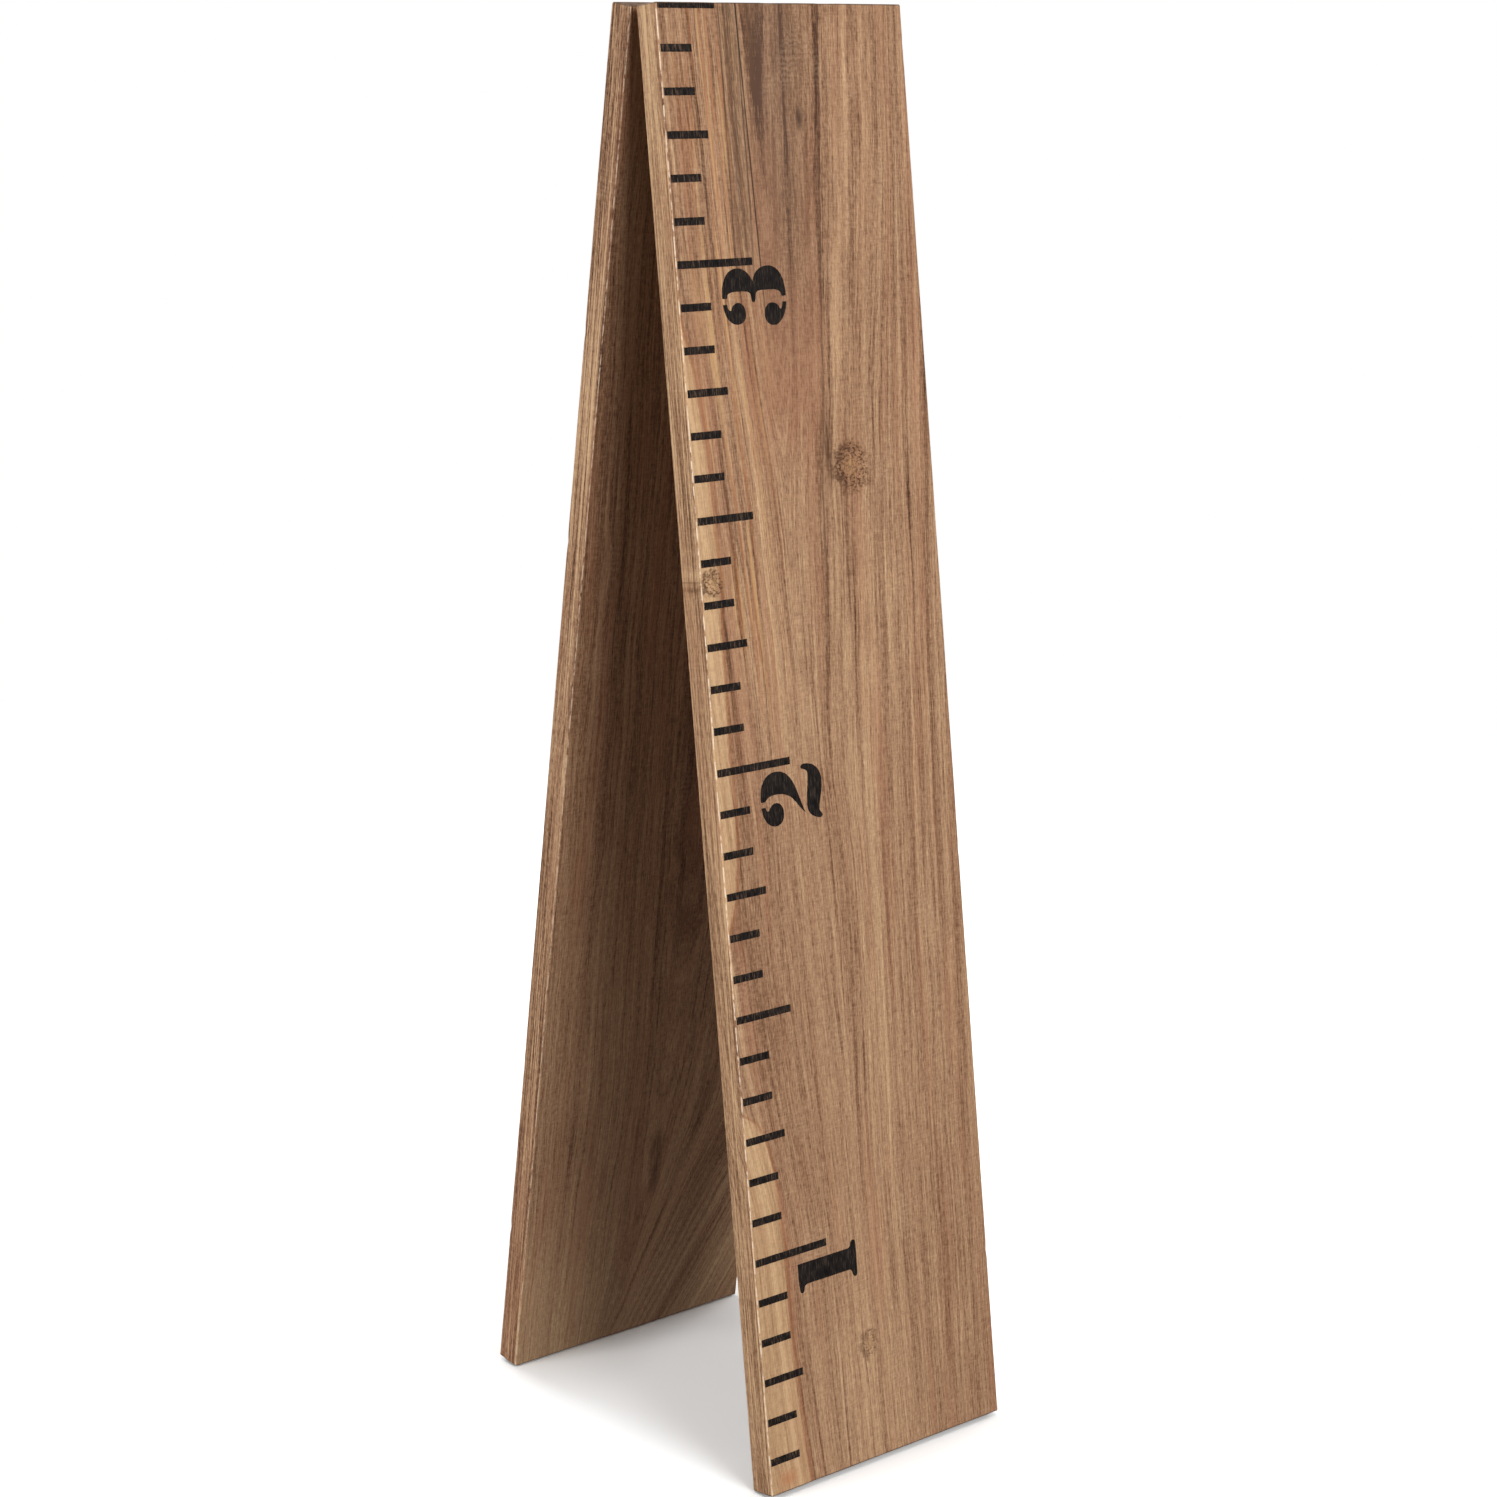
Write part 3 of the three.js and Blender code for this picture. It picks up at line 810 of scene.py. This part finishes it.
def make_paint(name, worn):
    """Flat black stencil paint. The wood shows through its thin spots, the more so if worn."""
    material, tree, shader = new_material(name)
    u, s, *_ = plank_places(tree)
    fibre = cloud(tree, u / 0.9, s / 7.0, detail=3.0, roughness=0.65, seed=21.0)
    patchy = cloud(tree, u / 9.0, s / 14.0, detail=3.0, seed=22.0)
    colour = ramp(tree, fibre, [(0.32, srgb(6, 5, 6)), (0.72, srgb(44, 38, 35))])
    colour = mix(tree, patchy.step(0.45, 0.75) * 0.35, colour, srgb(46, 42, 40))
    thin = fibre.step(0.5, 0.66) * patchy.step(0.3, 0.6)
    colour = mix(tree, thin * worn, colour, srgb(118, 90, 68))
    plug(tree, shader.inputs["Base Color"], colour)
    plug(tree, shader.inputs["Roughness"], fibre * 0.25 + 0.5)
    shader.inputs["Specular IOR Level"].default_value = 0.08
    add_bump(tree, shader, fibre, 0.1)
    return material


def mark_kind(number):
    for step, kind in MARK_KINDS:
        if number % step == 0:
            return kind
    return "inch"


def mark_height(number):
    return (number - FOLD_INCH) * INCH + MARK_OFFSET


def bleed(x, y):
    """A small push that makes a painted edge as uneven as a real one."""
    spot = Vector((x / 1.3, y / 1.3, 4.0))
    elsewhere = spot + Vector((40.0, 0.0, 0.0))
    return Vector((noise.noise(spot), noise.noise(elsewhere), 0.0)) * BLEED


def spaced(low, high, step):
    count = max(1, round((high - low) / step))
    return [low + (high - low) * k / count for k in range(count + 1)]


def painted_strip(mesh, side, left, right, bottom, top):
    """A thin skin of paint on the scale face, following its worn edge."""
    columns = spaced(left, right, COLUMN_STEP)
    rows = spaced(bottom, top, ROW_STEP)
    skins = []
    for lift in (-PAINT_LIFT, PAINT_LIFT):
        skin = []
        for i, x in enumerate(columns):
            for j, y in enumerate(rows):
                at = Vector((x, y, FACE))
                if i in (0, len(columns) - 1) or j in (0, len(rows) - 1):
                    at += bleed(x, y)
                on, facing = eased(at, side)
                skin.append(mesh.verts.new((on + facing * lift) * MM))
        skins.append(skin)
    under, over = skins
    wide, tall = len(columns), len(rows)
    for i in range(wide - 1):
        for j in range(tall - 1):
            a, b = i * tall + j, (i + 1) * tall + j
            mesh.faces.new((over[a], over[b], over[b + 1], over[a + 1]))
            mesh.faces.new((under[a + 1], under[b + 1], under[b], under[a]))
    rim = [i * tall for i in range(wide)]
    rim += [(wide - 1) * tall + j for j in range(1, tall)]
    rim += [i * tall + tall - 1 for i in reversed(range(wide - 1))]
    rim += [j for j in reversed(range(1, tall - 1))]
    for one, two in zip(rim, rim[1:] + rim[:1]):
        mesh.faces.new((under[one], under[two], over[two], over[one]))


def make_marks(half, material):
    side = SIDES[half]
    low, high = board_limits(side)
    first = FOLD_INCH - MARKS_PER_BOARD + 1 if side < 0 else FOLD_INCH + 1
    mesh = bmesh.new()
    for number in range(first, first + MARKS_PER_BOARD):
        middle = mark_height(number)
        bottom = max(middle - MARK_WIDTH / 2, low.y + 0.5)
        top = min(middle + MARK_WIDTH / 2, high.y - 0.5)
        left = low.x + MARK_INSET
        right = low.x + MARK_END[mark_kind(number)]
        painted_strip(mesh, side, left, right, bottom, top)
    data = finish_mesh(mesh, half + "_marks")
    return place(new_object(half + "_marks", data, material), half, slot="scale_paint")


# Stencil numerals as closed outlines in the numeral's own upright frame: x to the right from
# the middle of the foot mark that it stands before, y down from the plank's marked side. Two
# numbers are a corner and six a Bezier curve: two handles and the end.
UPPER_BALL = [
    (-25.1, 34.3),
    (-31.5, 34.6, -37.4, 38.8, -37.4, 45),
    (-37.4, 49.4, -34.8, 52.1, -31, 52.1),
    (-27, 52.1, -24.4, 49.6, -24.4, 46.2),
    (-24.4, 43.6, -26, 41.6, -28.6, 40.4),
    (-29.4, 39, -27.4, 37.8, -25.1, 37.6),
]
LOWER_BALL = [
    (-25.3, 85.5),
    (-33, 84.8, -39.1, 79.6, -39.1, 74.4),
    (-39.1, 70, -36, 67.2, -32.2, 67.2),
    (-28.2, 67.2, -25.4, 69.8, -25.4, 73.6),
    (-25.4, 76.6, -26.8, 78.8, -29.4, 80),
    (-30.2, 81.2, -28, 82, -25.3, 82.2),
]
NUMERALS = {
    1: [[
        (-8.7, 35.1),
        (-19.5, 35.2),
        (-22, 35.6, -24.5, 35.7, -26, 35.9),
        (-27.6, 36.1, -28, 37.7, -27.1, 38.6),
        (-26.5, 39.3, -25.4, 39.5, -24.4, 39.7),
        (-22.9, 40.2, -22.5, 41.6, -22.5, 44),
        (-22.5, 77.5),
        (-22.5, 79.3, -23.4, 80.1, -25, 80.4),
        (-28.6, 80.9, -28.6, 84.6, -25.6, 84.6),
        (-6.2, 84.6),
        (-3.2, 84.4, -3.2, 80.8, -5.8, 80.3),
        (-7.6, 80, -8.6, 79.2, -8.6, 77.5),
    ]],
    2: [
        [
            (-26.2, 34.3),
            (-32.5, 34.6, -38.8, 38.6, -38.8, 45.2),
            (-38.8, 49.5, -35.8, 52.3, -31.6, 52.3),
            (-27.4, 52.3, -24.5, 49.6, -24.5, 46),
            (-24.5, 43.4, -26.4, 41.6, -28.6, 40.2),
            (-29.6, 38.9, -28.2, 38, -26.2, 37.6),
        ],
        [
            (-22.7, 34.3),
            (-12.5, 33.3, -5.3, 38.6, -5.3, 47.4),
            (-5.3, 56.4, -11, 61, -20.5, 64.6),
            (-26, 66.8, -30, 68.2, -34.1, 70.1),
            (-31.5, 66.9, -27, 63.6, -24.6, 61.2),
            (-20.6, 57.2, -19.4, 52, -19.4, 46.5),
            (-19.4, 42, -20.4, 39.2, -22.7, 37.9),
        ],
        [
            (-38.9, 82.6),
            (-38.2, 78.4, -36.4, 71.9, -29.5, 71.8),
            (-22, 71.8, -17.5, 73.7, -10.2, 73.9),
            (-7.9, 73.8, -7.2, 72, -6.6, 69.6),
            (-6.2, 68, -4.6, 68, -4, 69.4),
            (-2.8, 72.4, -3.8, 85, -16, 85.1),
            (-23, 85.1, -28, 82, -33.2, 81.8),
            (-35.4, 81.9, -35.6, 84, -37.6, 84.1),
        ],
    ],
    3: [
        UPPER_BALL,
        [
            (-21.5, 34.3),
            (-11, 33.6, -3.8, 38.8, -3.8, 47),
            (-3.8, 52.6, -6.6, 56.6, -11.9, 59.2),
            (-6, 60.8, -3, 65.8, -3, 72),
            (-3, 80, -9.5, 85.5, -21.8, 85.5),
            (-21.8, 82.2),
            (-18.6, 81.2, -17.5, 79.2, -17.5, 74),
            (-17.5, 66.5),
            (-17.5, 62, -18.6, 60.8, -22.6, 60.7),
            (-25.4, 60.6, -25.4, 57.4, -22.6, 57.3),
            (-18.8, 57.3, -17.7, 56, -17.7, 50),
            (-17.7, 45),
            (-17.7, 40, -18.6, 38, -21.5, 37.9),
        ],
        LOWER_BALL,
    ],
    4: [
        [
            (-20.1, 35.2),
            (-39.1, 67.8),
            (-39.1, 71.6),
            (-20.1, 71.6),
            (-20.1, 67.8),
            (-34.3, 67.8),
            (-20.1, 43.4),
        ],
        [
            (-17.7, 34.4),
            (-7.7, 34.4),
            (-7.7, 67.8),
            (-3.3, 67.8),
            (-3.3, 71.6),
            (-7.7, 71.6),
            (-7.7, 77.5),
            (-7.7, 79.3, -6.8, 80.1, -5.2, 80.4),
            (-2.6, 80.9, -2.6, 84.6, -5.2, 84.6),
            (-20.2, 84.6),
            (-22.8, 84.6, -22.8, 80.9, -20.2, 80.4),
            (-18.6, 80.1, -17.7, 79.3, -17.7, 77.5),
        ],
    ],
    5: [
        [
            (-34, 34.6),
            (-27.5, 36.9, -17.5, 36.9, -9.5, 34.3),
            (-8.6, 34.1, -8.1, 34.6, -8.4, 35.4),
            (-10.5, 41.6, -15.5, 45.3, -22.5, 45.1),
            (-26.3, 44.9, -29.4, 44, -31.5, 43.2),
            (-31.5, 56),
            (-29.6, 55.3, -27.8, 54.9, -25.9, 54.8),
            (-25.9, 58),
            (-28.7, 58.2, -31, 59, -34, 61),
        ],
        [
            (-22.5, 54.6),
            (-11.5, 52.6, -3, 58.8, -3, 69.4),
            (-3, 79.4, -10.5, 85.5, -21.8, 85.5),
            (-21.8, 82.2),
            (-18.6, 81.2, -17.1, 77.6, -17.1, 70),
            (-17.1, 62.6, -18.4, 58.7, -22.5, 57.9),
        ],
        LOWER_BALL,
    ],
    6: [
        [
            (-23, 34.5),
            (-32.6, 36, -39.1, 46.6, -39.1, 60),
            (-39.1, 73.4, -32.6, 84, -23, 85.4),
            (-23, 82),
            (-26, 79.6, -26.9, 72.5, -26.9, 60),
            (-26.9, 47.5, -26, 40.4, -23, 37.9),
        ],
        [
            (-20, 34.3),
            (-11.6, 34.5, -5.1, 38.8, -5.1, 45.2),
            (-5.1, 49.3, -7.6, 51.9, -11.2, 51.9),
            (-14.8, 51.9, -17.2, 49.5, -17.2, 46.1),
            (-17.2, 43.5, -15.8, 41.5, -13.8, 40.3),
            (-13.2, 39, -16.4, 37.8, -20, 37.6),
        ],
        [
            (-20, 56.3),
            (-10.6, 55.4, -3.3, 61, -3.3, 70.4),
            (-3.3, 79.6, -10, 85.3, -20, 85.5),
            (-20, 82),
            (-17, 80.6, -16.1, 76.6, -16.1, 70.8),
            (-16.1, 64.8, -17, 61, -20, 59.7),
        ],
    ],
}


def outline_points(outline):
    """The outline as short straight pieces, each about OUTLINE_STEP long."""
    points = [Vector(outline[0])]
    for entry in outline[1:] + [outline[0]]:
        here = points[-1]
        stop = Vector(entry[-2:])
        curved = len(entry) == 6
        count = max(2, round((stop - here).length / OUTLINE_STEP))
        for k in range(1, count + 1):
            t = k / count
            if curved:
                one, two = Vector(entry[:2]), Vector(entry[2:4])
                a, b, c, d = (1 - t) ** 3, 3 * t * (1 - t) ** 2, 3 * t * t * (1 - t), t ** 3
                points.append(here * a + one * b + two * c + stop * d)
            else:
                points.append(here.lerp(stop, t))
    return points[:-1]


def make_numerals(half, material):
    side = SIDES[half]
    mesh = bmesh.new()
    for digit in (1, 2, 3) if side < 0 else (4, 5, 6):
        start = mark_height(12 * digit)
        for outline in NUMERALS[digit]:
            points = outline_points(outline)
            flat = [Vector((p.y - BOARD_WIDTH / 2, start + p.x, 0)) for p in points]
            flat = [p + bleed(p.x, p.y) for p in flat]
            area = sum(a.x * b.y - b.x * a.y for a, b in zip(flat, flat[1:] + flat[:1]))
            if area < 0:
                flat.reverse()
            over = [mesh.verts.new(Vector((p.x, p.y, FACE + PAINT_LIFT)) * MM) for p in flat]
            under = [mesh.verts.new(Vector((p.x, p.y, FACE - PAINT_LIFT)) * MM) for p in flat]
            mesh.faces.new(over)
            mesh.faces.new(list(reversed(under)))
            count = len(flat)
            for k in range(count):
                n = (k + 1) % count
                mesh.faces.new((under[k], under[n], over[n], over[k]))
    data = finish_mesh(mesh, half + "_numerals")
    return place(new_object(half + "_numerals", data, material), half, slot="scale_paint")


# ---------------------------------------------------------------------------- hardware


def metal(name, light, dark, roughness, tarnish):
    """Plated sheet metal, with faint brushing, duller patches and small specks."""
    material, tree, shader = new_material(name)
    x, y, z = object_place(tree)
    brushed = cloud(tree, x / 9.0, y / 0.35, z / 0.35, detail=3.0, seed=31.0)
    patches = cloud(tree, x / 11.0, y / 11.0, z / 11.0, detail=3.0, roughness=0.5, seed=32.0)
    speck = cloud(tree, x / 0.9, y / 0.9, z / 0.9, detail=2.0, seed=33.0).step(0.7, 0.78)
    colour = mix(tree, patches.step(0.4, 0.72) * tarnish, light, dark)
    colour = mix(tree, speck * 0.5, colour, srgb(70, 52, 34))
    plug(tree, shader.inputs["Base Color"], colour)
    shader.inputs["Metallic"].default_value = 1.0
    plug(tree, shader.inputs["Roughness"], brushed * 0.2 + patches * 0.25 + (roughness - 0.2))
    add_bump(tree, shader, brushed + speck * -0.6, 0.008)
    return material


def finish_hardware():
    brass = metal("hinge_brass", srgb(206, 174, 116), srgb(158, 126, 78), 0.34, 0.7)
    steel = metal("pin_steel", srgb(188, 184, 176), srgb(130, 124, 116), 0.3, 0.5)
    yellow = metal("screw_brass", srgb(214, 182, 122), srgb(164, 130, 80), 0.28, 0.5)
    for name, node in frame["nodes"].items():
        if name.endswith("_leaf"):
            coat(node, brass, 0.12)
        elif name.endswith("_pin"):
            coat(node, steel, 0.06)
        elif "_screw_" in name:
            coat(node, yellow, 0.05)


def coat(node, material, bevel):
    """A material and a small softening of the sharp edges for a carried-over part."""
    node.data.materials.clear()
    node.data.materials.append(material)
    for face in node.data.polygons:
        face.material_index = 0
    join = node.modifiers.new("joined corners", "WELD")
    join.merge_threshold = 0.001 * MM
    soften = node.modifiers.new("softened edges", "BEVEL")
    soften.width = bevel * MM
    soften.segments = 2
    soften.limit_method = "ANGLE"
    soften.angle_limit = math.radians(40)


# ---------------------------------------------------------------------------- stage

# Soft lights: heading in degrees from the front to the left, degrees above level, the
# disc's width in metres, and watts
LIGHTS = {
    "key": (4.0, 25.0, 2.3, 154.0),
    "side": (97.0, 15.0, 2.0, 120.0),
    "right": (-97.0, 20.0, 2.4, 90.0),
    "back": (187.0, 25.0, 2.4, 110.0),
    "top": (0.0, 88.0, 4.0, 60.0),
}
LIGHT_DISTANCE = 4.0
LIGHT_AIM = 0.45  # how high on the rule they point

# The camera, in metres and degrees
CAMERA_PLACE = (-1.32609, -1.48804, 0.89202)
CAMERA_HEADING = 40.041
CAMERA_DOWN = 12.496
CAMERA_ROLL = 0.289
LENS = 76.453  # in millimetres, on a 36 mm wide frame
SHIFT_X = 0.0584
SHIFT_Y = -0.0117


def make_floor():
    """A pale floor that fades into the white backdrop."""
    material, tree, shader = new_material("pale_floor")
    node = tree.nodes.new("ShaderNodeTexCoord")
    split = tree.nodes.new("ShaderNodeSeparateXYZ")
    tree.links.new(node.outputs["Object"], split.inputs[0])
    x, y, _ = [Value(tree, out) for out in split.outputs]
    faint = cloud(tree, x / 0.6, y / 0.6, detail=3.0, seed=51.0)
    pale = mix(tree, faint, (0.93, 0.93, 0.925, 1.0), (0.95, 0.95, 0.945, 1.0))
    plug(tree, shader.inputs["Base Color"], pale)
    shader.inputs["Roughness"].default_value = 0.9
    shader.inputs["Specular IOR Level"].default_value = 0.0
    away = (x * x + y * y).sqrt().step(1.0, 2.4)
    glow = tree.nodes.new("ShaderNodeEmission")
    fade = tree.nodes.new("ShaderNodeMixShader")
    plug(tree, fade.inputs[0], away)
    tree.links.new(shader.outputs[0], fade.inputs[1])
    tree.links.new(glow.outputs[0], fade.inputs[2])
    tree.links.new(fade.outputs[0], tree.nodes["Material Output"].inputs["Surface"])
    mesh = bmesh.new()
    bmesh.ops.create_circle(mesh, cap_ends=True, segments=96, radius=STAGE_REACH)
    bmesh.ops.translate(mesh, verts=mesh.verts, vec=(0.0, 0.0, FLOOR_LEVEL))
    data = finish_mesh(mesh, "floor")
    floor = new_object("floor", data, material)
    floor.visible_diffuse = False
    floor.visible_glossy = False


def make_backdrop():
    """A white backdrop all round, which only the camera sees."""
    material = bpy.data.materials.new("white_backdrop")
    material.use_nodes = True
    tree = material.node_tree
    tree.nodes.clear()
    glow = tree.nodes.new("ShaderNodeEmission")
    glow.inputs["Color"].default_value = (1.0, 1.0, 1.0, 1.0)
    output = tree.nodes.new("ShaderNodeOutputMaterial")
    tree.links.new(glow.outputs[0], output.inputs["Surface"])
    mesh = bmesh.new()
    bmesh.ops.create_icosphere(mesh, subdivisions=4, radius=STAGE_REACH)
    data = finish_mesh(mesh, "backdrop")
    backdrop = new_object("backdrop", data, material)
    for way in ("diffuse", "glossy", "transmission", "volume_scatter", "shadow"):
        setattr(backdrop, "visible_" + way, False)


def heading_vector(heading, rise):
    """The level direction at a heading, in radians, lifted by that angle."""
    level = math.cos(rise)
    return Vector((math.sin(heading) * level, math.cos(heading) * level, math.sin(rise)))


def area_light(name, heading, height, size, power):
    """A round soft light aimed at the rule."""
    lamp = bpy.data.lights.new(name, "AREA")
    lamp.shape = "DISK"
    lamp.size = size
    lamp.energy = power
    holder = bpy.data.objects.new(name, lamp)
    bpy.context.scene.collection.objects.link(holder)
    back = heading_vector(math.radians(heading) + math.pi, math.radians(height))
    holder.location = Vector((0.0, 0.0, LIGHT_AIM)) + back * LIGHT_DISTANCE
    holder.rotation_euler = back.to_track_quat("Z", "Y").to_euler()


def make_lights():
    world = bpy.data.worlds.new("studio")
    world.use_nodes = True
    tree = world.node_tree
    node = tree.nodes.new("ShaderNodeTexCoord")
    split = tree.nodes.new("ShaderNodeSeparateXYZ")
    tree.links.new(node.outputs["Generated"], split.inputs[0])
    height = Value(tree, split.outputs[2])
    plug(tree, tree.nodes["Background"].inputs["Strength"], height.step(-0.5, 0.0, 0.3, 0.11))
    tree.nodes["Background"].inputs["Color"].default_value = (1.0, 1.0, 1.0, 1.0)
    bpy.context.scene.world = world
    for name, settings in LIGHTS.items():
        area_light(name, *settings)


def make_camera():
    lens = bpy.data.cameras.new("camera")
    lens.sensor_width = 36.0
    lens.lens = LENS
    lens.shift_x = SHIFT_X
    lens.shift_y = SHIFT_Y
    holder = bpy.data.objects.new("camera", lens)
    bpy.context.scene.collection.objects.link(holder)
    forward = heading_vector(math.radians(CAMERA_HEADING), -math.radians(CAMERA_DOWN))
    roll = math.radians(CAMERA_ROLL)
    level = forward.cross(Vector((0, 0, 1))).normalized()
    above = level.cross(forward)
    right = level * math.cos(roll) + above * math.sin(roll)
    up = right.cross(forward)
    turned = Matrix((right, up, -forward)).transposed().to_4x4()
    holder.matrix_world = Matrix.Translation(CAMERA_PLACE) @ turned
    bpy.context.scene.camera = holder


bpy.context.scene.view_settings.view_transform = "Standard"
make_camera()
make_lights()
make_floor()
make_backdrop()
mark_paint = make_paint("mark_paint", 0.6)
numeral_paint = make_paint("numeral_paint", 0.2)
for half in SIDES:
    make_board(half, make_wood(half + "_wood", half))
    make_marks(half, mark_paint)
    make_numerals(half, numeral_paint)
finish_hardware()

bpy.context.view_layer.update()
